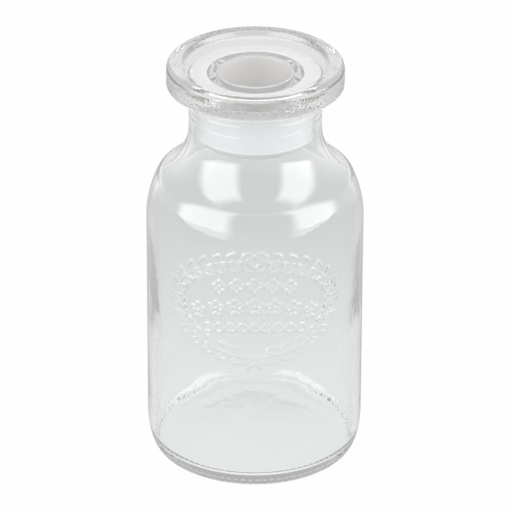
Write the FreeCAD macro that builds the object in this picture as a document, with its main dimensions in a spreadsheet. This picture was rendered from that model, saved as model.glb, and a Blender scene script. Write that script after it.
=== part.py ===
"""Reagent bottle with a disc-headed glass stopper, hollow from below, in a plastic seal.

Frame: millimetres, +Z up, origin at the centre of the bearing ring on which the
bottle stands. Every piece is turned about its own Z axis from one outline, drawn
in the piece's XZ plane with x as the radius and y as the height. The bottle's own
zero is the bearing plane, the seal's is the lip that its flange lies on, and the
stopper's is the underside of its head.
"""
import FreeCAD, Part
import math
import os
import re

import Sketcher

# --------------------------------------------------------------------------
# Driving dimensions, in millimetres and counts
# --------------------------------------------------------------------------
DIMENSIONS = {
    # bottle, outside
    "body_radius": 35.0,
    "bearing_inner_radius": 25.5,
    "push_up_height": 1.1,
    "heel_radius": 3.5,
    "insweep_radius": 22.0,
    "insweep_height": 10.7,
    "shoulder_drop": 45.7,
    "shoulder_sweep_radius": 34.0,
    "shoulder_sweep_degrees": 25.0,
    "shoulder_turn_radius": 5.0,
    "flare_radius": 19.0,
    "neck_radius": 21.2,
    "lip_radius": 21.9,
    "lip_height": 128.3,
    "lip_bead_height": 5.4,
    "lip_bead_slope": 1.6,
    "lip_bead_blend": 2.0,
    "lip_rounding": 0.9,
    # bottle, inside
    "body_wall": 2.5,
    "base_thickness": 3.9,
    "inner_heel_radius": 3.6,
    "bore_radius": 18.5,
    # seal
    "seal_flange_radius": 20.8,
    "seal_flange_thickness": 0.6,
    "seal_clearance": 0.3,
    "seal_wall": 2.76,
    "seal_length": 17.6,
    "seal_lead_in": 2.4,
    "seal_foot_wall": 0.9,
    "seal_root_rounding": 0.3,
    "plug_clearance": 0.04,
    # stopper
    "head_radius": 28.3,
    "head_thickness": 8.0,
    "head_top_rounding": 2.2,
    "head_bottom_rounding": 0.9,
    "dish_radius": 23.6,
    "dish_depth": 1.5,
    "dish_slope": 1.2,
    "dish_rounding": 0.8,
    "plug_length": 18.4,
    "plug_wall": 3.0,
    "plug_foot_rounding": 1.0,
    "hollow_draft": 0.4,
    "hollow_rise": 1.5,
    "hollow_corner_radius": 0.8,
}
# The shoulder hangs from the lip, so that the neck keeps its length.
SHOULDER_START = "(lip_height - shoulder_drop)"
# The sleeve fills the bore and the plug fills the sleeve, each with its clearance.
SLEEVE_RADIUS = "(bore_radius - seal_clearance)"
SLEEVE_BORE = f"({SLEEVE_RADIUS} - seal_wall)"
PLUG_RADIUS = f"({SLEEVE_BORE} - plug_clearance)"
HOLLOW_RADIUS = f"({PLUG_RADIUS} - plug_wall)"


doc = FreeCAD.newDocument("reagent_bottle")
sizes = doc.addObject("Spreadsheet::Sheet", "Sizes")
for row, (name, number) in enumerate(DIMENSIONS.items(), start=1):
    sizes.set(f"A{row}", name)
    sizes.set(f"B{row}", str(number))
    sizes.setAlias(f"B{row}", name)
doc.recompute()


def bound(formula):
    """The formula with each dimension's name pointing at its cell in the sheet."""
    return re.sub(r"\b(" + "|".join(DIMENSIONS) + r")\b", r"Sizes.\1", formula)


def value(formula):
    """The present value of a formula in the dimensions' names."""
    return float(sizes.evalExpression(bound(formula)))


# --------------------------------------------------------------------------
# Outlines
# --------------------------------------------------------------------------
# Sketcher's own numbers: its vertical and horizontal axes, and the places on an edge
AXIS_INDEX, LEVEL_INDEX = -2, -1
START_INDEX, END_INDEX, CENTRE_INDEX = 1, 2, 3


class Outline:
    """A closed outline in one body's XZ plane, drawn edge by edge, with bound dimensions."""

    def __init__(self, body, name, radius, height):
        plane = next(o for o in body.Origin.OriginFeatures if o.Role == "XZ_Plane")
        self.sketch = body.newObject("Sketcher::SketchObject", name)
        self.sketch.AttachmentSupport = [(plane, "")]
        self.sketch.MapMode = "FlatFace"
        self.start = self.here = (value(radius), value(height))
        self.first = self.pen = None
        self.begin = (radius, height)

    def constrain(self, *arguments):
        return self.sketch.addConstraint(Sketcher.Constraint(*arguments))

    def dimension(self, kind, formula, *where):
        """Add one dimension and bind it to the sheet."""
        number = self.constrain(kind, *where, value(formula))
        self.sketch.setExpression(f"Constraints[{number}]", bound(formula))

    def place(self, point, radius=None, height=None):
        """Dimension a point's radius and height; "0" puts it on the axis or the zero level."""
        wanted = ((radius, "DistanceX", AXIS_INDEX), (height, "DistanceY", LEVEL_INDEX))
        for formula, kind, axis in wanted:
            if formula == "0":
                self.constrain("PointOnObject", *point, axis)
            elif formula:
                self.dimension(kind, formula, LEVEL_INDEX, START_INDEX, *point)

    def join(self, edge, near, far, smooth):
        """Join a new edge's near end to the pen and carry the pen to its far end."""
        if self.pen:
            self.constrain("Tangent" if smooth else "Coincident", *self.pen, edge, near)
        else:
            self.first = (edge, near)
            self.place(self.first, *self.begin)
        self.pen = (edge, far)

    def line(self, end, smooth=False):
        segment = Part.LineSegment(FreeCAD.Vector(*self.here, 0), FreeCAD.Vector(*end, 0))
        edge = self.sketch.addGeometry(segment, False)
        self.join(edge, START_INDEX, END_INDEX, smooth)
        self.here = end
        return edge

    def arc(self, centre, end, smooth=True, clockwise=False):
        turns = [math.atan2(p[1] - centre[1], p[0] - centre[0]) for p in (self.here, end)]
        if clockwise:
            turns.reverse()
        circle = Part.Circle(FreeCAD.Vector(*centre, 0), FreeCAD.Vector(0, 0, 1),
                             math.dist(centre, end))
        edge = self.sketch.addGeometry(Part.ArcOfCircle(circle, *turns), False)
        self.join(edge, *((END_INDEX, START_INDEX) if clockwise else (START_INDEX, END_INDEX)), smooth)
        self.here = end
        return edge

    def corners(self, *vertices):
        """Straight edges from the pen through (radius, height[, rounding]) vertices."""
        points = [self.here] + [(value(v[0]), value(v[1])) for v in vertices]
        rounded_corner = None
        for i, vertex in enumerate(vertices, start=1):
            corner = points[i]
            rounding = vertex[2] if len(vertex) > 2 else None
            if rounding:
                back, ahead = unit(corner, points[i - 1]), unit(corner, points[i + 1])
                half = 0.5 * math.acos(back[0] * ahead[0] + back[1] * ahead[1])
                reach = value(rounding) / math.tan(half)
                side = self.line(along(corner, back, reach), smooth=rounded_corner is not None)
            else:
                side = self.line(corner, smooth=rounded_corner is not None)
            if rounded_corner is not None:
                self.constrain("PointOnObject", rounded_corner, START_INDEX, side)
                rounded_corner = None
            if not rounding:
                self.place(self.pen, *vertex[:2])
                continue
            rounded_corner = self.sketch.addGeometry(Part.Point(FreeCAD.Vector(*corner, 0)), True)
            self.place((rounded_corner, START_INDEX), *vertex[:2])
            self.constrain("PointOnObject", rounded_corner, START_INDEX, side)
            middle = unit((0, 0), (back[0] + ahead[0], back[1] + ahead[1]))
            centre = along(corner, middle, value(rounding) / math.sin(half))
            turns_left = back[0] * ahead[1] - back[1] * ahead[0] < 0
            bend = self.arc(centre, along(corner, ahead, reach), clockwise=not turns_left)
            self.dimension("Radius", rounding, bend)

    def close(self):
        """Close the outline from the pen along the axis to where it began."""
        self.line(self.start)
        self.constrain("Coincident", *self.pen, *self.first)


def unit(start, end):
    length = math.dist(start, end)
    return ((end[0] - start[0]) / length, (end[1] - start[1]) / length)


def along(point, direction, distance):
    return (point[0] + direction[0] * distance, point[1] + direction[1] * distance)


def shoulder(outline, side, sweep, turn, flare, neck):
    """A side's shoulder: a wide sweep, a tighter turn and a hollow flare up into the neck.

    The three arcs are tangent to each other, to the side below and to the neck above,
    so the heights of the last two joints follow from the radii.
    """
    sweep_top = f"{SHOULDER_START} + ({sweep}) * sin(shoulder_sweep_degrees)"
    side_radius, sweep_radius, turn_radius, flare_radius = map(value, (side, sweep, turn, flare))
    first = math.radians(value("shoulder_sweep_degrees"))
    reach = side_radius - value(neck) - sweep_radius * (1 - math.cos(first))
    last = math.acos((turn_radius * math.cos(first) + flare_radius - reach)
                     / (turn_radius + flare_radius))
    foot = (side_radius - sweep_radius, value(SHOULDER_START))
    joint = along(foot, (math.cos(first), math.sin(first)), sweep_radius)
    hub = along(joint, (math.cos(first), math.sin(first)), -turn_radius)
    crest = along(hub, (math.cos(last), math.sin(last)), turn_radius)
    hollow = along(crest, (math.cos(last), math.sin(last)), flare_radius)
    edge = outline.arc(foot, joint)
    outline.dimension("Radius", sweep, edge)
    outline.place((edge, END_INDEX), height=sweep_top)
    outline.dimension("Radius", turn, outline.arc(hub, crest))
    top = (hollow[0] - flare_radius, hollow[1])
    outline.dimension("Radius", flare, outline.arc(hollow, top, clockwise=True))
    outline.place(outline.pen, neck)


def turn_about_axis(body, kind, outline, name):
    """Add or cut the solid that the outline sweeps about the piece's own Z axis."""
    feature = body.newObject(kind, name)
    feature.Profile = outline.sketch
    feature.ReferenceAxis = (outline.sketch, ["V_Axis"])
    feature.Angle = 360.0
    outline.sketch.Visibility = False
    return feature


def new_body(label, height=None):
    """A body whose own zero stands at the given height of the assembled bottle."""
    body = doc.addObject("PartDesign::Body", label)
    body.Label = label
    if height:
        body.setExpression("Placement.Base.z", bound(height))
    return body


# --------------------------------------------------------------------------
# Bottle: one piece of blown glass, thick in the base and even in the walls
# --------------------------------------------------------------------------
def make_bottle():
    body = new_body("bottle")

    # the outside, from the middle of the push-up round the heel and up to the lip
    outside = Outline(body, "bottle_outside", "0", "push_up_height")
    ring, rise = value("bearing_inner_radius"), value("push_up_height")
    dome_radius = (ring ** 2 + rise ** 2) / (2 * rise)
    dome = outside.arc((0, rise - dome_radius), (ring, 0), clockwise=True)
    outside.constrain("PointOnObject", dome, CENTRE_INDEX, AXIS_INDEX)
    outside.place(outside.pen, "bearing_inner_radius", "0")
    heel, insweep = value("heel_radius"), value("insweep_radius")
    insweep_centre = (value("body_radius - insweep_radius"), value("insweep_height"))
    drop = insweep_centre[1] - heel
    heel_centre = (insweep_centre[0] + math.sqrt((insweep - heel) ** 2 - drop ** 2), heel)
    outside.line((heel_centre[0], 0))
    outside.place(outside.pen, height="0")
    meeting = along(insweep_centre, unit(insweep_centre, heel_centre), insweep)
    outside.dimension("Radius", "heel_radius", outside.arc(heel_centre, meeting))
    side_foot = (value("body_radius"), insweep_centre[1])
    outside.dimension("Radius", "insweep_radius", outside.arc(insweep_centre, side_foot))
    outside.place(outside.pen, height="insweep_height")
    side = outside.line((value("body_radius"), value(SHOULDER_START)), smooth=True)
    outside.constrain("Vertical", side)
    outside.place(outside.pen, "body_radius", SHOULDER_START)
    shoulder(outside, "body_radius", "shoulder_sweep_radius", "shoulder_turn_radius",
             "flare_radius", "neck_radius")
    outside.corners(
        ("neck_radius", "lip_height - lip_bead_height", "lip_bead_blend"),
        ("lip_radius", "lip_height - lip_bead_height + lip_bead_slope", "lip_bead_blend"),
        ("lip_radius", "lip_height", "lip_rounding"),
        ("0", "lip_height"))
    outside.close()
    turn_about_axis(body, "PartDesign::Revolution", outside, "bottle_blank")

    # the hollow, from the middle of the floor up the wall and out through the bore
    hollow = Outline(body, "bottle_hollow", "0", "base_thickness")
    hollow.corners(
        ("body_radius - body_wall", "base_thickness", "inner_heel_radius"),
        ("body_radius - body_wall", SHOULDER_START))
    shoulder(hollow, "body_radius - body_wall", "shoulder_sweep_radius - body_wall",
             "shoulder_turn_radius - body_wall", "flare_radius + body_wall", "bore_radius")
    above_lip = "lip_height + lip_rounding"
    hollow.corners(
        ("bore_radius", "lip_height - 0.5 * lip_rounding"),
        ("bore_radius + 1.5 * lip_rounding", above_lip),
        ("0", above_lip))
    hollow.close()
    turn_about_axis(body, "PartDesign::Groove", hollow, "bottle_bore")
    return body


# --------------------------------------------------------------------------
# Seal: a soft polyethylene sleeve between the plug and the bore, with a flange on the lip
# --------------------------------------------------------------------------
def make_seal():
    body = new_body("seal", "lip_height")

    # the sleeve hangs from its flange and ends in a long lead-in taper
    sleeve = Outline(body, "seal_sleeve", SLEEVE_BORE, "seal_flange_thickness")
    sleeve.corners(
        (SLEEVE_BORE, "-seal_length"),
        (f"{SLEEVE_BORE} + seal_foot_wall", "-seal_length"),
        (SLEEVE_RADIUS, "-seal_length + seal_lead_in"),
        (SLEEVE_RADIUS, "0", "seal_root_rounding"),
        ("seal_flange_radius", "0"),
        ("seal_flange_radius", "seal_flange_thickness"))
    sleeve.close()
    turn_about_axis(body, "PartDesign::Revolution", sleeve, "seal_tube")
    return body


# --------------------------------------------------------------------------
# Stopper: one piece of pressed glass, a dished disc on a plug that is hollow from below
# --------------------------------------------------------------------------
def make_stopper():
    body = new_body("stopper", "lip_height + seal_flange_thickness")
    dish = "head_thickness - dish_depth"
    outline = Outline(body, "stopper_outline", "0", dish)
    outline.corners(
        ("dish_radius - dish_slope", dish, "dish_rounding"),
        ("dish_radius", "head_thickness", "dish_rounding"),
        ("head_radius", "head_thickness", "head_top_rounding"),
        ("head_radius", "0", "head_bottom_rounding"),
        (PLUG_RADIUS, "0"),
        (PLUG_RADIUS, "-plug_length", "plug_foot_rounding"),
        (f"{HOLLOW_RADIUS} + hollow_draft", "-plug_length", "plug_foot_rounding"),
        (HOLLOW_RADIUS, "hollow_rise", "hollow_corner_radius"),
        ("0", "hollow_rise"))
    outline.close()
    turn_about_axis(body, "PartDesign::Revolution", outline, "stopper_glass")
    return body


# --------------------------------------------------------------------------
# Build, test and write each piece
# --------------------------------------------------------------------------
bodies = [make_bottle(), make_seal(), make_stopper()]
doc.recompute()

for thing in doc.Objects:
    if {"Invalid", "Error"} & set(thing.State):
        raise RuntimeError(f"{thing.Label} did not build: {thing.State}")
for body in bodies:
    shape = body.Shape
    if shape.isNull() or not shape.isValid() or len(shape.Solids) != 1:
        raise RuntimeError(f"{body.Label} is not one sound solid")

os.makedirs("parts", exist_ok=True)
for body in bodies:
    body.Shape.exportStep(f"parts/{body.Label}.step")
    box = body.Shape.BoundBox
    print(f"{body.Label}: {body.Shape.Volume / 1000:.2f} cm3, z {box.ZMin:.2f} to {box.ZMax:.2f},"
          f" {len(body.Shape.Faces)} faces")
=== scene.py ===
"""Looks of a clear glass reagent bottle with a hollow glass stopper on a plastic seal."""

import math

import bpy
import numpy as np
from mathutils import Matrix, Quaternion, Vector


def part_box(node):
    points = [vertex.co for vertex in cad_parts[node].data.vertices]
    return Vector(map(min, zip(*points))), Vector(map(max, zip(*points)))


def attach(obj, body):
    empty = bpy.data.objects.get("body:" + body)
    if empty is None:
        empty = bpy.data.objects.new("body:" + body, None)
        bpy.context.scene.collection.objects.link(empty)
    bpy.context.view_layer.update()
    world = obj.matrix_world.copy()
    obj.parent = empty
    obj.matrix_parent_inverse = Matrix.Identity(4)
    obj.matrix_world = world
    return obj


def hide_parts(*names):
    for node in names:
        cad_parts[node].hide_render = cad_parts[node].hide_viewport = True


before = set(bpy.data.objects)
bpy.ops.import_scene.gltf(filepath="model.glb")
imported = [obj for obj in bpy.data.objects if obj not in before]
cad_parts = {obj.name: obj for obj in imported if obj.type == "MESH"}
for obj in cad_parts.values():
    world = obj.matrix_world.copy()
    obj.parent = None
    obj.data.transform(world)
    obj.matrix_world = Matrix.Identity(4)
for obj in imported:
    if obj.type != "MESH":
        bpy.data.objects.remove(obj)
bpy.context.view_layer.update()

# ---- Bottle ----------------------------------------------------------------
# One piece of clear soda-lime glass, blown in a two-part mould: thick in the base,
# even in the walls, fire-polished at the lip. Its skin is one closed surface that
# runs from the middle of the foot out, up and over the lip, and down to the floor.
MM = 0.001
BODY_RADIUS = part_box("bottle")[1][0]
LIP_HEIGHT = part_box("bottle")[1][2]
PUSH_UP, BEARING_INNER = 1.1 * MM, 25.5 * MM
HEEL_RADIUS, INSWEEP_RADIUS, INSWEEP_HEIGHT = 3.5 * MM, 22.0 * MM, 10.7 * MM
SHOULDER_START = LIP_HEIGHT - 45.7 * MM
SWEEP_RADIUS, SWEEP_ANGLE = 34.0 * MM, math.radians(25)
TURN_RADIUS, FLARE_RADIUS = 5.0 * MM, 19.0 * MM
NECK_RADIUS, LIP_RADIUS, LIP_ROUNDING = 21.2 * MM, 21.9 * MM, 0.9 * MM
BEAD_FOOT, BEAD_SLOPE = LIP_HEIGHT - 5.4 * MM, 1.6 * MM
WALL, BASE_THICKNESS, INNER_HEEL, BORE_RADIUS = 2.5 * MM, 3.9 * MM, 3.6 * MM, 18.5 * MM
BEAD_ROUNDING, MOUTH_FLARE, MOUTH_DEPTH, BORE_TOP = 2.0 * MM, 0.25 * MM, 2 * MM, LIP_HEIGHT - 4 * MM
FIRST_RING = 3.0 * MM
WAVE_DEPTH = 0.05 * MM

# Columns stand at whole ticks, so that a finer stretch has all of a coarser one's.
TURN = 2160
SEAMS = np.array([TURN // 4, 3 * TURN // 4])
SEAM_COLUMNS = (SEAMS[:, None] + np.array([-9, -6, -4, -2, 0, 2, 4, 6, 9])).ravel()
WALL_COLUMNS = np.union1d(np.arange(0, TURN, 12), SEAM_COLUMNS)


def bend(centre, radius, start, end, count):
    """Points (radius, height) on a circle about centre, from one angle to another in degrees."""
    turn = np.radians(np.linspace(start, end, count))
    return np.column_stack([centre[0] + radius * np.cos(turn), centre[1] + radius * np.sin(turn)])


def run(start, end, count):
    """Evenly spaced points (radius, height) on a straight line, both ends included."""
    share = np.linspace(0, 1, count)[:, None]
    return (1 - share) * np.array(start) + share * np.array(end)


def chain(*stretches):
    """The stretches end to end, without the points that two of them share."""
    points = np.vstack(stretches)
    fresh = np.linalg.norm(np.diff(points, axis=0), axis=1) > 1e-7
    return points[np.r_[True, fresh]]


def eased(corners):
    """Straight runs through (radius, height, rounding, count) corners, each rounded by an arc.

    A corner of half angle h and rounding r has its arc's ends r / tan(h) back along both
    sides, and its centre r / sin(h) away on the line that halves it. The count is that of
    the run which leads to the corner.
    """
    corners = [np.array(corner, float) for corner in corners]
    pieces, here = [], corners[0][:2]
    for before, corner, after in zip(corners[:-2], corners[1:-1], corners[2:]):
        back = (before - corner)[:2] / np.linalg.norm((before - corner)[:2])
        ahead = (after - corner)[:2] / np.linalg.norm((after - corner)[:2])
        half = 0.5 * math.acos(float(back @ ahead))
        reach = corner[2] / math.tan(half)
        first, last = corner[:2] + reach * back, corner[:2] + reach * ahead
        middle = (back + ahead) / np.linalg.norm(back + ahead)
        hub = corner[:2] + middle * corner[2] / math.sin(half)
        start, end = (math.atan2(*(end - hub)[::-1]) for end in (first, last))
        sweep = (end - start + math.pi) % (2 * math.pi) - math.pi
        pieces.append(run(here, first, int(corner[3])))
        pieces.append(bend(hub, corner[2], math.degrees(start), math.degrees(start + sweep), 6))
        here = last
    pieces.append(run(here, corners[-1][:2], int(corners[-1][3])))
    return chain(*pieces)


def shoulder(side, sweep, turn, flare, neck):
    """Three arcs, each tangent to the next, from a side of radius side up to a neck.

    The first sweeps in through the named angle, the second turns tighter, and the hollow
    third meets the neck upright, which fixes the angle where the second hands over:
    (turn + flare) cos(last) = turn cos(first) + flare - (side - neck - sweep (1 - cos(first))).
    """
    first = SWEEP_ANGLE
    reach = side - neck - sweep * (1 - math.cos(first))
    last = math.acos((turn * math.cos(first) + flare - reach) / (turn + flare))
    foot = np.array([side - sweep, SHOULDER_START])
    outward = np.array([math.cos(first), math.sin(first)])
    hub = foot + (sweep - turn) * outward
    hollow = hub + (turn + flare) * np.array([math.cos(last), math.sin(last)])
    first, last = math.degrees(first), math.degrees(last)
    return chain(bend(foot, sweep, 0, first, 22), bend(hub, turn, first, last, 14),
                 bend(hollow, flare, 180 + last, 180, 24))


def turned(profile, ticks):
    """An outline at every column: ticks, and the radius and height at (row, column)."""
    shape = (len(profile), len(ticks))
    return ticks, *(np.broadcast_to(profile[:, i:i + 1], shape).copy() for i in (0, 1))


def stitch(low_ticks, low, high_ticks, high):
    """Triangles that fill the band between two rings, one of which may have extra columns.

    Each edge of the finer ring goes to the last coarse column that it isn't before, and each
    edge of the coarser ring goes to the finer ring's column at its far end.
    """
    fine_is_low = len(low_ticks) > len(high_ticks)
    rings = [(low_ticks, low), (high_ticks, high)]
    (coarse_ticks, coarse), (fine_ticks, fine) = rings[::-1] if fine_is_low else rings
    keeper = np.searchsorted(coarse_ticks, fine_ticks, side="right") - 1
    meeting = np.searchsorted(fine_ticks, coarse_ticks)
    fans = np.stack([coarse[keeper], fine, np.roll(fine, -1)], -1)
    gaps = np.stack([coarse, np.roll(fine[meeting], -1), np.roll(coarse, -1)], -1)
    return np.vstack([fans, gaps])[:, ::1 if fine_is_low else -1]


def mesh_object(name, points, faces):
    """A smooth-shaded mesh object, with its place in its mesh."""
    mesh = bpy.data.meshes.new(name)
    mesh.from_pydata(points, [], faces)
    mesh.shade_smooth()
    piece = bpy.data.objects.new(name, mesh)
    bpy.context.scene.collection.objects.link(piece)
    return piece


def surface(name, patches, closed_ring=False):
    """A skin about the axis from patches of (ticks, radii, heights), each joined to the next.

    A point at angle a from the front, radius r and height z is (r sin a, -r cos a, z). The
    first row and the last shrink to a point on the axis, or meet each other in a closed ring.
    """
    points, faces, rings, count = [], [], [], 0
    for ticks, radii, heights in patches:
        angles = ticks * (2 * math.pi / TURN)
        place = np.stack([radii * np.sin(angles), -radii * np.cos(angles), heights], -1)
        points.append(place.reshape(-1, 3))
        index = count + np.arange(radii.size).reshape(radii.shape)
        across = np.roll(index, -1, axis=1)
        quads = np.stack([index[:-1], across[:-1], across[1:], index[1:]], -1)
        faces += quads.reshape(-1, 4).tolist()
        rings.append((ticks, index[0], index[-1]))
        count += radii.size
    followers = rings[1:] + rings[:1] if closed_ring else rings[1:]
    for (low_ticks, _, low), (high_ticks, high, _) in zip(rings, followers):
        faces += stitch(low_ticks, low, high_ticks, high).tolist()
    poles = ((rings[0][1], patches[0][2][0, 0], -1), (rings[-1][2], patches[-1][2][-1, 0], 1))
    for ring, height, order in () if closed_ring else poles:
        points.append([[0, 0, height]])
        around = np.stack([ring, np.roll(ring, -1), np.full(len(ring), count)], -1)
        faces += around[:, ::order].tolist()
        count += 1
    return mesh_object(name, np.vstack(points), faces)


STROKE = 0.34
EDGE_STRETCH, MIDRIB = 0.85, 0.7


def ridge(away):
    """A raised stroke's relief, exp(-(away / stroke)^2), over the distance from its line in mm."""
    return np.exp(-(away / STROKE) ** 2)


def leaf(u, v, foot_u, foot_v, heading, length, width):
    """A pointed leaf drawn in strokes: its edge and its midrib, over (u, v) in millimetres.

    With p the share of the length run from the foot, the edge stands width / 2 sin(pi p) to
    each side of the midrib. The edge's stroke is the broader of the two, and the midrib's lower.
    """
    du, dv = u - foot_u, v - foot_v
    along = (du * math.cos(heading) + dv * math.sin(heading)) / length
    off = np.abs(dv * math.cos(heading) - du * math.sin(heading))
    share = np.clip(along, 0, 1)
    past = length * np.abs(along - share)
    edge = np.hypot((off - 0.5 * width * np.sin(math.pi * share)) * EDGE_STRETCH, past)
    return np.maximum(ridge(edge), MIDRIB * ridge(np.hypot(off, past)))


def rosette(u, v, centre_u, centre_v, radius, lobes, depth):
    """A closed stroke about a centre, at radius (1 - depth + depth cos(lobes t)) at angle t."""
    du, dv = u - centre_u, v - centre_v
    turn = lobes * np.arctan2(du, dv)
    reach = radius * (1 - depth + depth * np.cos(turn))
    lean = radius * depth * lobes * np.sin(turn) / reach
    return ridge((np.hypot(du, dv) - reach) / np.sqrt(1 + lean ** 2))


def dot(u, v, centre_u, centre_v, radius):
    """A round bead's relief: 1 - (distance / radius)^2, never below 0."""
    return np.clip(1 - ((u - centre_u) ** 2 + (v - centre_v) ** 2) / radius ** 2, 0, 1)


# The ornament's sizes are in millimetres. The oval's half axes come first, then half its
# stroke's gap at the top, and the angles that the leaves keep clear at its foot and its top.
# Each leaf of a pair has its lean from the oval, its length and its width, and each of the
# two tails at the foot its heading and length. A row has its height, its sag, the pitch of
# its rosettes and how many stand to each side, then their radius, lobes and depth.
WREATH_ACROSS, WREATH_UP, WREATH_GAP = 27.4, 17.2, 3.4
CLEAR_FOOT, CLEAR_TOP = 0.13, 0.16
LEAF_PAIRS, LEAVES = 14, ((0.7, 4.8, 2.2), (-0.7, 4.4, 2.0))
TAILS, TAIL_SET, TAIL_WIDTH = ((-0.45, 5.2), (-1.05, 4.3)), 0.2, 2.0
KNOT, CROWN, EYE = 1.3, (2.3, 6, 0.15), 0.3
ROWS = ((8.6, 0.010, 5.8, 2, 2.3, 4, 0.2), (1.0, 0.010, 6.4, 3, 2.6, 5, 0.2),
        (-6.6, 0.006, 3.9, 4, 1.5, 3, 0.12))


def wreath_stations(count):
    """Points and headings evenly spaced along the right half of the oval, from bottom to top."""
    turn = np.linspace(-math.pi / 2 + CLEAR_FOOT, math.pi / 2 - CLEAR_TOP, 400)
    u, v = WREATH_ACROSS * np.cos(turn), WREATH_UP * np.sin(turn)
    length = np.r_[0, np.cumsum(np.hypot(np.diff(u), np.diff(v)))]
    turn = np.interp(np.linspace(0, length[-1], count), length, turn)
    heading = np.arctan2(WREATH_UP * np.cos(turn), -WREATH_ACROSS * np.sin(turn))
    return zip(WREATH_ACROSS * np.cos(turn), WREATH_UP * np.sin(turn), heading)


def badge(u, v):
    """The moulded ornament's relief from 0 to 1: an oval laurel wreath about rows of rosettes."""
    ratio = np.hypot(u / WREATH_ACROSS, v / WREATH_UP) + 1e-9
    away = (ratio - 1) * ratio / np.hypot(u / WREATH_ACROSS ** 2, v / WREATH_UP ** 2).clip(1e-9)
    motifs = [ridge(away) * ((np.abs(u) > WREATH_GAP) | (v < 0))]
    mirrored = np.abs(u)
    for foot_u, foot_v, heading in wreath_stations(LEAF_PAIRS):
        for lean, length, width in LEAVES:
            motifs.append(leaf(mirrored, v, foot_u, foot_v, heading + lean, length, width))
    for turn, length in TAILS:
        motifs.append(leaf(mirrored, v, TAIL_SET, -WREATH_UP, turn, length, TAIL_WIDTH))
    motifs.append(dot(u, v, 0, -WREATH_UP, KNOT))
    motifs.append(rosette(u, v, 0, WREATH_UP, *CROWN))
    for row_v, sag, pitch, count, radius, lobes, depth in ROWS:
        for step in range(-count, count + 1):
            here = row_v - sag * (pitch * step) ** 2
            motifs.append(rosette(u, v, pitch * step, here, radius, lobes, depth))
            motifs.append(dot(u, v, pitch * step, here, EYE * radius))
    return np.max(motifs, axis=0)


BADGE_FOOT, BADGE_TOP, BADGE_CENTRE = 45.0 * MM, 88.4 * MM, 66.2 * MM
BADGE_COLUMNS = np.union1d(WALL_COLUMNS, np.arange(-312, 313, 3) % TURN)
BADGE_RELIEF = 0.48 * MM
KNURLS, KNURL_DEPTH, KNURL_RISE, KNURL_SPAN = 90, 0.35 * MM, 1.0 * MM, 2.6 * MM
KNURL_TOP = -17
KNURL_COLUMNS = np.union1d(WALL_COLUMNS, np.arange(0, TURN, 4))
SEAM_RELIEF, SEAM_WIDTH = 0.07 * MM, 0.35 * MM
PARTING, PARTING_RELIEF, PARTING_REACH = LIP_HEIGHT - 8.7 * MM, 0.13 * MM, 0.4 * MM


def seamed(patch):
    """A patch of the outer wall with the mould's two upright seams left standing on it.

    The wall sinks by relief (1 - exp(-(d / width)^2)), where d is the distance round from the
    seam, so the seams stand no higher than the bare wall.
    """
    ticks, radii, heights = patch
    off = np.abs(ticks[:, None] - SEAMS).min(axis=1) * (2 * math.pi / TURN) * radii
    return ticks, radii + SEAM_RELIEF * (np.exp(-(off / SEAM_WIDTH) ** 2) - 1), heights


def badge_place(ticks, heights):
    """Distances in millimetres round from the badge's middle and up from it, at (row, column)."""
    around = (ticks / TURN + 0.5) % 1 - 0.5
    round_from = np.broadcast_to(2 * math.pi * BODY_RADIUS / MM * around, heights.shape)
    return round_from, (heights - BADGE_CENTRE) / MM


def set_back(patch):
    """A patch of the outer wall set back about the badge, which so stands no higher than the wall.

    It is set back in full out to 1.2 times the oval's size, and eases out to the bare wall at
    twice that size, by 3 s^2 - 2 s^3 of the share s that is left to run.
    """
    ticks, radii, heights = patch
    u, v = badge_place(ticks, heights)
    share = np.clip((2.0 - np.hypot(u / WREATH_ACROSS, v / WREATH_UP)) / 0.8, 0, 1)
    return ticks, radii - BADGE_RELIEF * share ** 2 * (3 - 2 * share), heights


def wavy(patch, depth):
    """A patch of the blown inner wall, with the long shallow waves of glass set free of a mould.

    The radius changes by depth times the mean of sines of whole counts round the wall and
    differing lengths up it.
    """
    ticks, radii, heights = patch
    angles = ticks * (2 * math.pi / TURN)
    waves = [(3, 41, 0.3), (5, 27, 1.9), (2, 63, 4.1), (8, 19, 2.7), (11, 33, 0.8)]
    sway = sum(np.sin(count * angles + 2 * math.pi * heights / (length * MM) + start)
               for count, length, start in waves) / len(waves)
    return ticks, radii + depth * sway, heights


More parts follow.
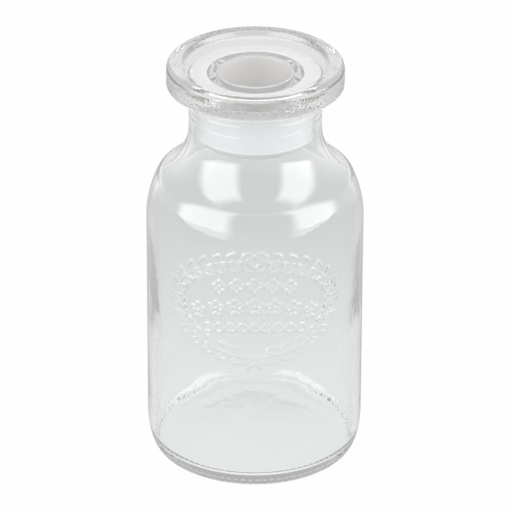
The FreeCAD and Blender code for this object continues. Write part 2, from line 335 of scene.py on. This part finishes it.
def bottle_skin():
    """The bottle's outer and inner surfaces in one, from the foot's middle to the floor's."""
    dome = (BEARING_INNER ** 2 + PUSH_UP ** 2) / (2 * PUSH_UP)
    radii = np.linspace(FIRST_RING, BEARING_INNER - 0.9 * MM, 9)
    foot = np.column_stack([radii, PUSH_UP - dome + np.sqrt(dome ** 2 - radii ** 2)])

    insweep = np.array([BODY_RADIUS - INSWEEP_RADIUS, INSWEEP_HEIGHT])
    drop = INSWEEP_HEIGHT - HEEL_RADIUS
    inset = math.sqrt((INSWEEP_RADIUS - HEEL_RADIUS) ** 2 - drop ** 2)
    heel = np.array([insweep[0] + inset, HEEL_RADIUS])
    meeting = math.degrees(math.atan2(*(heel - insweep)[::-1]))
    foot = chain(foot, run((BEARING_INNER, 0), (heel[0], 0), 6)[:-1])
    ticks, radii, heights = turned(chain(bend(heel, HEEL_RADIUS, -90, meeting, 9),
                                         bend(insweep, INSWEEP_RADIUS, meeting, KNURL_TOP, 8)),
                                   KNURL_COLUMNS)
    dips = 0.5 - 0.5 * np.cos(KNURLS * ticks * (2 * math.pi / TURN))
    dips = dips * np.sin(math.pi * np.clip((heights - KNURL_RISE) / KNURL_SPAN, 0, 1)) ** 2
    knurls = ticks, radii - KNURL_DEPTH * dips, heights

    side = turned(chain(bend(insweep, INSWEEP_RADIUS, KNURL_TOP, 0, 9)[1:],
                        run((BODY_RADIUS, INSWEEP_HEIGHT), (BODY_RADIUS, BADGE_FOOT), 15)[:-1]),
                  WALL_COLUMNS)

    heights = np.linspace(BADGE_FOOT, BADGE_TOP, 142)
    sweep = np.clip(heights - SHOULDER_START, 0, None)
    radii = BODY_RADIUS - SWEEP_RADIUS + np.sqrt(SWEEP_RADIUS ** 2 - sweep ** 2)
    ticks, radii, heights = turned(np.column_stack([radii, heights]), BADGE_COLUMNS)
    panel = ticks, radii + BADGE_RELIEF * badge(*badge_place(ticks, heights)), heights

    top = shoulder(BODY_RADIUS, SWEEP_RADIUS, TURN_RADIUS, FLARE_RADIUS, NECK_RADIUS)
    top = top[top[:, 1] > BADGE_TOP + 0.3 * MM]
    lip = eased([(NECK_RADIUS, top[-1, 1], 0, 0),
                 (NECK_RADIUS, PARTING - PARTING_REACH, 0.3 * MM, 4),
                 (NECK_RADIUS + PARTING_RELIEF, PARTING, 0.2 * MM, 2),
                 (NECK_RADIUS, PARTING + PARTING_REACH, 0.3 * MM, 2),
                 (NECK_RADIUS, BEAD_FOOT, BEAD_ROUNDING, 4),
                 (LIP_RADIUS, BEAD_FOOT + BEAD_SLOPE, BEAD_ROUNDING, 2),
                 (LIP_RADIUS, LIP_HEIGHT, LIP_ROUNDING, 5),
                 (BORE_RADIUS + MOUTH_FLARE, LIP_HEIGHT, 0.6 * MM, 4),
                 (BORE_RADIUS, LIP_HEIGHT - MOUTH_DEPTH, 0, 4)])
    neck = turned(chain(top, lip), WALL_COLUMNS)

    inner, rise = BODY_RADIUS - WALL, BASE_THICKNESS + INNER_HEEL
    inside = chain(bend((inner - INNER_HEEL, rise), INNER_HEEL, -90, 0, 12),
                   run((inner, rise), (inner, SHOULDER_START), 20),
                   shoulder(inner, SWEEP_RADIUS - WALL, TURN_RADIUS - WALL, FLARE_RADIUS + WALL,
                            BORE_RADIUS)[::2],
                   [(BORE_RADIUS, BORE_TOP)])[::-1]
    floor = run((inner - INNER_HEEL - 1.5 * MM, BASE_THICKNESS), (FIRST_RING, BASE_THICKNESS), 10)
    return [turned(foot, WALL_COLUMNS), knurls,
            *(set_back(seamed(patch)) for patch in (side, panel, neck)),
            wavy(turned(inside, WALL_COLUMNS), WAVE_DEPTH), turned(floor, WALL_COLUMNS)]


class Wire:
    """A node's output. Sums, differences and products of wires and numbers add Math nodes."""

    def __init__(self, socket):
        self.socket = socket

    def node(self, kind, settings=None, inputs=None, output=0):
        """Another node of the tree: its type, its settings, then the values or wires it takes."""
        tree = self.socket.id_data
        node = tree.nodes.new(kind)
        for name, setting in (settings or {}).items():
            if name == "stops":
                for stop, (position, colour) in zip(node.color_ramp.elements, setting):
                    stop.position, stop.color = position, colour
            else:
                setattr(node, name, setting)
        for name, given in (inputs or {}).items():
            if isinstance(given, Wire):
                tree.links.new(given.socket, node.inputs[name])
            else:
                node.inputs[name].default_value = given
        return Wire(node.outputs[output])

    def output(self, name):
        """Another output of the node that this wire comes from."""
        return Wire(self.socket.node.outputs[name])

    def math(self, operation, *operands):
        """A Math node over the operands, which are wires or numbers."""
        return self.node("ShaderNodeMath", {"operation": operation}, dict(enumerate(operands)))

    def over(self, limit):
        """1 where this value is over the limit, and 0 elsewhere."""
        return self.math("GREATER_THAN", self, limit)

    def size(self):
        """This value without its sign."""
        return self.math("ABSOLUTE", self)

    def either(self, other):
        """The larger of two values."""
        return self.math("MAXIMUM", self, other)

    def __add__(self, other):
        return self.math("ADD", self, other)

    def __mul__(self, other):
        return self.math("MULTIPLY", self, other)

    def __sub__(self, other):
        return self.math("SUBTRACT", self, other)

    def __rsub__(self, other):
        return self.math("SUBTRACT", other, self)

    __radd__, __rmul__ = __add__, __mul__

    def noise(self, scale, detail=2.0, roughness=0.5):
        """Soft noise from 0 to 1 at this wire's coordinates, scale lumps to the metre."""
        return self.node("ShaderNodeTexNoise", {}, {"Vector": self, "Scale": scale, "Detail": detail,
                                                    "Roughness": roughness})

    def between(self, low, high, first, last):
        """A value that runs from first to last as this one goes from low to high, and stops there."""
        return self.node("ShaderNodeMapRange", {}, {"Value": self, "From Min": low, "From Max": high,
                                                    "To Min": first, "To Max": last})

    def blend(self, first, second):
        """The first colour where this wire is 0, and the second where it is 1."""
        return self.node("ShaderNodeMix", {"data_type": "RGBA"}, {0: self, 6: first, 7: second}, output=2)

    def bump(self, distance, strength=1.0):
        """The normal that this wire's height gives, distance metres high at 1."""
        return self.node("ShaderNodeBump", {}, {"Height": self, "Distance": distance, "Strength": strength})


def new_material(name, **constants):
    """A Principled material with constant sockets set, its shader, and its Object coordinates."""
    material = bpy.data.materials.new(name)
    material.use_nodes = True
    tree = material.node_tree
    shader = tree.nodes["Principled BSDF"]
    for socket, constant in constants.items():
        shader.inputs[socket.replace("_", " ")].default_value = constant
    return material, shader, Wire(tree.nodes.new("ShaderNodeTexCoord").outputs["Object"])


def link(shader, **wires):
    """Leads each wire into the shader's socket of that name."""
    for socket, wire in wires.items():
        wire.socket.id_data.links.new(wire.socket, shader.inputs[socket.replace("_", " ")])


# The most mirrorings and the most turns of any kind that a path keeps inside the glass.
MIRRORED_MOST, TURNED_MOST = 3.5, 9.5


def glass(name, clear, deep, ripple):
    """Clear glass: a faint tint in slow drifts, a breath of smudging, and a rippled fire skin.

    Light from lamps goes straight through, and so does what has been thrown about inside it
    more often than a path may turn, which would be lost there as black.
    """
    material, shader, place = new_material(name, Transmission_Weight=1.0, IOR=1.5)
    drift = place.noise(38.0, 3.0)
    smudge = place.noise(110.0, 4.0, 0.6)
    link(shader, Base_Color=drift.between(0.3, 0.7, 0.0, 1.0).blend(clear, deep),
         Roughness=smudge.between(0.45, 0.8, 0.0, 0.035),
         Normal=(place.noise(90.0, 1.0) + 0.25 * place.noise(420.0, 1.0)).bump(ripple))
    path = place.node("ShaderNodeLightPath", output="Is Shadow Ray")
    worn = path.output("Glossy Depth").over(MIRRORED_MOST).either(path.output("Ray Depth").over(TURNED_MOST))
    straight = path.either(worn)
    open_way = place.node("ShaderNodeBsdfTransparent", {}, {"Color": clear})
    both = place.node("ShaderNodeMixShader", {}, {0: straight, 1: Wire(shader.outputs[0]), 2: open_way})
    out = material.node_tree.nodes["Material Output"]
    material.node_tree.links.new(both.socket, out.inputs["Surface"])
    return material


bottle = surface("bottle_body", bottle_skin())
bottle.data.materials.append(glass("bottle_glass", (0.955, 0.965, 0.962, 1), (0.945, 0.958, 0.956, 1),
                                   0.08 * MM))
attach(bottle, "bottle")
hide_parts("bottle")

# ---- Seal ------------------------------------------------------------------
# A sleeve of milky polyethylene on the stopper's plug, moulded in one piece with the
# flange that lies on the lip. It fills the bore and ends in a long lead-in taper.
SEAL_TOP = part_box("seal")[1][2]
SEAL_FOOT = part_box("seal")[0][2]
FLANGE_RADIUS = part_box("seal")[1][0]
BORE_PLAY, SLEEVE_WALL, SEAT_GAP = 0.3 * MM, 2.76 * MM, 0.03 * MM
SLEEVE_RADIUS = BORE_RADIUS - BORE_PLAY
SLEEVE_BORE = SLEEVE_RADIUS - SLEEVE_WALL
FOOT_WALL, LEAD_IN = 0.9 * MM, 2.4 * MM
BEAD, BEAD_HEIGHT, BEAD_END = 0.15 * MM, 0.5 * MM, 0.8 * MM
STOPPER_COLUMNS = np.arange(0, TURN, 6)


def seal_skin():
    """The sleeve's closed ring: out under the flange, in over it, down the bore, up the taper.

    One fine bead stands out over the taper, and the rest of the sleeve is slimmer by it.
    """
    under = LIP_HEIGHT + SEAT_GAP
    girth = SLEEVE_RADIUS - BEAD
    corners = [(girth, LIP_HEIGHT - 1.0 * MM, 0, 0),
               (girth, SEAL_FOOT + LEAD_IN + BEAD_END, 0.2 * MM, 30),
               (SLEEVE_RADIUS, SEAL_FOOT + LEAD_IN + BEAD_HEIGHT, 0.2 * MM, 2),
               (SLEEVE_RADIUS, SEAL_FOOT + LEAD_IN, 0.3 * MM, 2),
               (SLEEVE_BORE + FOOT_WALL, SEAL_FOOT, 0.3 * MM, 6), (SLEEVE_BORE, SEAL_FOOT, 0.2 * MM, 2),
               (SLEEVE_BORE, SEAL_TOP, 0.1 * MM, 34), (FLANGE_RADIUS, SEAL_TOP, 0.15 * MM, 10),
               (FLANGE_RADIUS, under, 0.15 * MM, 2), (girth, under, 0.3 * MM, 5),
               (girth, LIP_HEIGHT - 0.9 * MM, 0, 2)]
    return turned(eased(corners)[::-1], STOPPER_COLUMNS)


def polyethylene():
    """Milky plastic: light sinks in and scatters, over a fine satin moulding grain."""
    material, shader, place = new_material("seal_polyethylene", Transmission_Weight=0.05, IOR=1.5,
                                           Subsurface_Weight=0.2, Subsurface_Scale=0.004,
                                           Subsurface_Radius=(1, 1, 1))
    cloud = place.noise(160.0, 3.0).between(0.3, 0.7, 0.0, 1.0)
    link(shader, Base_Color=cloud.blend((0.94, 0.935, 0.96, 1), (0.96, 0.955, 0.975, 1)),
         Roughness=place.noise(300.0).between(0.3, 0.7, 0.36, 0.48),
         Normal=place.noise(900.0, 2.0).bump(0.02 * MM))
    return material


seal = surface("seal_sleeve", [seal_skin()], closed_ring=True)
seal.data.materials.append(polyethylene())
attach(seal, "seal")
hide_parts("seal")

# ---- Stopper ---------------------------------------------------------------
# One piece of pressed glass, a thick dished disc on a plug that is hollow from below.
# The mould leaves the disc's rim and edge slightly pebbled, the rest bright.
STOPPER_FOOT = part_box("stopper")[0][2]
HEAD_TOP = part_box("stopper")[1][2]
HEAD_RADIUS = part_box("stopper")[1][0]
DISH_RADIUS, DISH_DEPTH, DISH_SLOPE = 23.6 * MM, 1.5 * MM, 1.2 * MM
PLUG_PLAY, PLUG_WALL, HOLLOW_PAST_SEAL = 0.04 * MM, 3.0 * MM, 1.5 * MM
PLUG_RADIUS = SLEEVE_BORE - PLUG_PLAY
HOLLOW_RADIUS, HOLLOW_DRAFT, HOLLOW_TOP = PLUG_RADIUS - PLUG_WALL, 0.4 * MM, SEAL_TOP + HOLLOW_PAST_SEAL
PEBBLE, PEBBLE_DEPTH, PEBBLE_WAVES = 0.9 * MM, 0.06 * MM, 30
PEBBLED_FROM, PEBBLED_FULLY, HEAD_FROM, HEAD_HUB = 22.0 * MM, 24.5 * MM, 21.0 * MM, 2.0 * MM
HEAD_COLUMNS = np.arange(0, TURN, 3)


def pebbled(patch, start, full):
    """A patch with pebbles on what lies beyond the radius start, at full depth from full out.

    The skin sinks by the depth times a sum of cosine waves, one pebble long, in seeded random
    directions, scaled to a spread of 1 and then held between 0 and 1. It sinks in radius at
    the edge and in height on top and underneath.
    """
    ticks, radii, heights = patch
    angles = ticks * (2 * math.pi / TURN)
    place = np.stack([radii * np.sin(angles), -radii * np.cos(angles), heights], -1)
    draw = np.random.default_rng(7)
    waves = draw.normal(size=(PEBBLE_WAVES, 3))
    waves *= (2 * math.pi / PEBBLE) / np.linalg.norm(waves, axis=1, keepdims=True)
    starts = draw.uniform(0, 2 * math.pi, PEBBLE_WAVES)
    lumps = np.cos(place @ waves.T + starts).sum(-1) / math.sqrt(PEBBLE_WAVES / 2)
    share = np.clip((radii - start) / (full - start), 0, 1)
    sink = PEBBLE_DEPTH * share * np.clip(0.5 + 0.35 * lumps, 0, 1)
    edge = np.clip((radii - HEAD_RADIUS) / (2 * MM) + 1, 0, 1)
    upper = np.where(heights > 0.5 * (HEAD_TOP + SEAL_TOP), 1, -1)
    return ticks, radii - sink * edge, heights - sink * (1 - edge) * upper


def stopper_skin():
    """The stopper's closed surface, from the middle of the hollow's top down, out and over."""
    dish, seat = HEAD_TOP - DISH_DEPTH, SEAL_TOP + SEAT_GAP
    outline = eased([(HEAD_HUB, HOLLOW_TOP, 0, 0), (HOLLOW_RADIUS, HOLLOW_TOP, 0.8 * MM, 10),
                     (HOLLOW_RADIUS + HOLLOW_DRAFT, STOPPER_FOOT, 1.0 * MM, 14),
                     (PLUG_RADIUS, STOPPER_FOOT, 1.0 * MM, 3), (PLUG_RADIUS, seat, 0.02 * MM, 12),
                     (HEAD_RADIUS, seat, 0.9 * MM, 26), (HEAD_RADIUS, HEAD_TOP, 2.2 * MM, 20),
                     (DISH_RADIUS, HEAD_TOP, 0.8 * MM, 7),
                     (DISH_RADIUS - DISH_SLOPE, dish, 0.8 * MM, 3), (HEAD_HUB, dish, 0, 30)])
    first, last = np.flatnonzero(outline[:, 0] > HEAD_FROM)[[0, -1]]
    head = pebbled(turned(outline[first:last + 1], HEAD_COLUMNS), PEBBLED_FROM, PEBBLED_FULLY)
    return [turned(outline[:first], STOPPER_COLUMNS), head, turned(outline[last + 1:], STOPPER_COLUMNS)]


stopper = surface("stopper_body", stopper_skin())
stopper.data.materials.append(glass("stopper_glass", (0.965, 0.962, 0.955, 1), (0.95, 0.944, 0.935, 1),
                                    0.05 * MM))
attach(stopper, "stopper")
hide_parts("stopper")

# ---- Studio ----------------------------------------------------------------
# A white table before a white backdrop, with a tall softbox on each side of the camera,
# which stands well back and looks down. A softbox has its azimuth and half its width, and
# both share a rise, half a height and a soft edge, all in degrees.
FLOOR_DROP, FLOOR_RADIUS, FLOOR_SIDES = 0.2 * MM, 8, 64
SOFTBOXES = ((-60, 31), (72, 27))
BOX_RISE, BOX_UP, BOX_EDGE, BOX_RADIANCE = 21, 42, 6, 3.6
LAMP_SIZE, LAMP_DISTANCE, LAMP_RADIANCE, LAMP_AIM = 2.2, 2, 2.0, Vector((0, 0, 0.07))
angles = np.linspace(0, 2 * math.pi, FLOOR_SIDES, endpoint=False)
floor_points = np.column_stack([FLOOR_RADIUS * np.cos(angles), FLOOR_RADIUS * np.sin(angles),
                                np.full(FLOOR_SIDES, -FLOOR_DROP)])
floor = mesh_object("floor", floor_points, [list(range(FLOOR_SIDES))])


def studio_tree(holder):
    """The emptied node tree of a material or a world, and three wires for the rays it meets.

    Each is 1 for its kind of ray: one from the camera, through glass, or mirrored.
    """
    holder.use_nodes = True
    holder.node_tree.nodes.clear()
    path = holder.node_tree.nodes.new("ShaderNodeLightPath")
    kinds = (path.outputs[f"Is {way} Ray"] for way in ("Camera", "Transmission", "Glossy"))
    return holder.node_tree, *(Wire(kind) for kind in kinds)


# The table is a matt grey under the lamps, under a glow painted on by the kind of ray. It looks
# white from the camera; through glass a painted shade falls off towards the back and picks up
# again there, and mirrored it is painted dimmer.
paint = bpy.data.materials.new("floor_paint")
tree, direct, through, mirrored = studio_tree(paint)
place = direct.node("ShaderNodeTexCoord", output="Object")
back = place.node("ShaderNodeSeparateXYZ", {}, {0: place}, output=1)
# Painted shade: the glow seen through glass falls off towards the back and picks up again.
table = back.between(0.0, 0.17, 0.94, 0.68) + back.between(0.2, 0.35, 0.0, 0.27)
strength = direct.either(through * table).either(mirrored * back.between(-0.15, 0.15, 0.3, 0.6))
matt = direct.node("ShaderNodeBsdfDiffuse", {}, {"Color": (0.5, 0.5, 0.5, 1)})
glow = direct.node("ShaderNodeEmission", {}, {"Color": (1, 1, 1, 1), "Strength": strength})
seen = direct.either(through).either(mirrored)
both = seen.node("ShaderNodeMixShader", {}, {0: seen * 0.97, 1: matt, 2: glow})
tree.links.new(both.socket, tree.nodes.new("ShaderNodeOutputMaterial").inputs["Surface"])
floor.data.materials.append(paint)


def box_glow(ahead, side, height):
    """Both softboxes' soft-edged picture over a direction, from its azimuth and elevation."""
    azimuth = side.math("ARCTAN2", side, 0 - ahead) * (180 / math.pi)
    elevation = height.math("ARCSINE", height) * (180 / math.pi)
    lift = (elevation - BOX_RISE).size().between(BOX_UP - BOX_EDGE, BOX_UP + BOX_EDGE, 1.0, 0.0)
    left, right = ((azimuth - centre).size().between(across - BOX_EDGE, across + BOX_EDGE, 1.0, 0.0)
                   for centre, across in SOFTBOXES)
    return (left + right) * lift * BOX_RADIANCE


# The cove is white from the camera. Through glass it is dimmer higher up and brighter in
# front. Mirrored, it is dimmer behind the camera and shows the softboxes, in the first
# reflection only. What falls on the table and the sleeve comes mostly from overhead.
world = bpy.data.worlds.new("cove")
bpy.context.scene.world = world
tree, direct, through, mirrored = studio_tree(world)
direction = direct.node("ShaderNodeTexCoord", output="Generated")
split = direction.node("ShaderNodeSeparateXYZ", {}, {0: direction})
side, back, height = (split.output(axis) for axis in "XYZ")
turns = direct.output("Glossy Depth")
once = turns.over(0.5) * (1 - turns.over(1.5))
cove = mirrored * back.between(-0.3, 0.3, 0.3, 0.65)
backdrop = through * (height.between(0.15, 0.4, 0.85, 0.62) + back.between(-0.3, 0.0, 0.25, 0.0))
lighting = (1 - direct.either(through).either(mirrored)) * height.between(0.3, 0.9, 0.3, 1.75)
strength = direct.either(backdrop).either(cove).either(lighting) + once * box_glow(back, side, height)
light = height.node("ShaderNodeBackground", {}, {"Color": (1, 1, 1, 1), "Strength": strength})
tree.links.new(light.socket, tree.nodes.new("ShaderNodeOutputWorld").inputs["Surface"])


def softbox(name, azimuth, elevation):
    """The lamp of a softbox, turned to face the bottle: azimuth 0 stands behind the camera.

    A lamp of radiance L and area A gives out pi L A watts.
    """
    lamp = bpy.data.lights.new(name, "AREA")
    lamp.shape, lamp.size, lamp.size_y = "RECTANGLE", LAMP_SIZE, LAMP_SIZE
    lamp.energy = LAMP_RADIANCE * math.pi * lamp.size * lamp.size_y
    stand = bpy.data.objects.new(name, lamp)
    bpy.context.scene.collection.objects.link(stand)
    out = Vector((math.sin(azimuth) * math.cos(elevation), -math.cos(azimuth) * math.cos(elevation),
                  math.sin(elevation)))
    stand.location = LAMP_AIM + LAMP_DISTANCE * out
    stand.rotation_euler = out.to_track_quat("Z", "Y").to_euler()
    stand.visible_camera = stand.visible_transmission = stand.visible_glossy = False


for name, (azimuth, _) in zip(("softbox_left", "softbox_right"), SOFTBOXES):
    softbox(name, math.radians(azimuth), math.radians(BOX_RISE))

AIM = Vector((0.37 * MM, 0, 67.4 * MM))
DISTANCE, LOOK_DOWN, LEAN = 1.4, math.radians(27.72), math.radians(0.2)
FOCAL_LENGTH, FILM_WIDTH = 304.2, 36.0
lens = bpy.data.cameras.new("camera")
lens.lens, lens.sensor_width = FOCAL_LENGTH, FILM_WIDTH
camera = bpy.data.objects.new("camera", lens)
bpy.context.scene.collection.objects.link(camera)
away = Vector((0, -math.cos(LOOK_DOWN), math.sin(LOOK_DOWN)))
camera.location = AIM + DISTANCE * away
camera.rotation_euler = (away.to_track_quat("Z", "Y") @ Quaternion((0, 0, 1), LEAN)).to_euler()
bpy.context.scene.camera = camera
bpy.context.scene.view_settings.view_transform = "Standard"
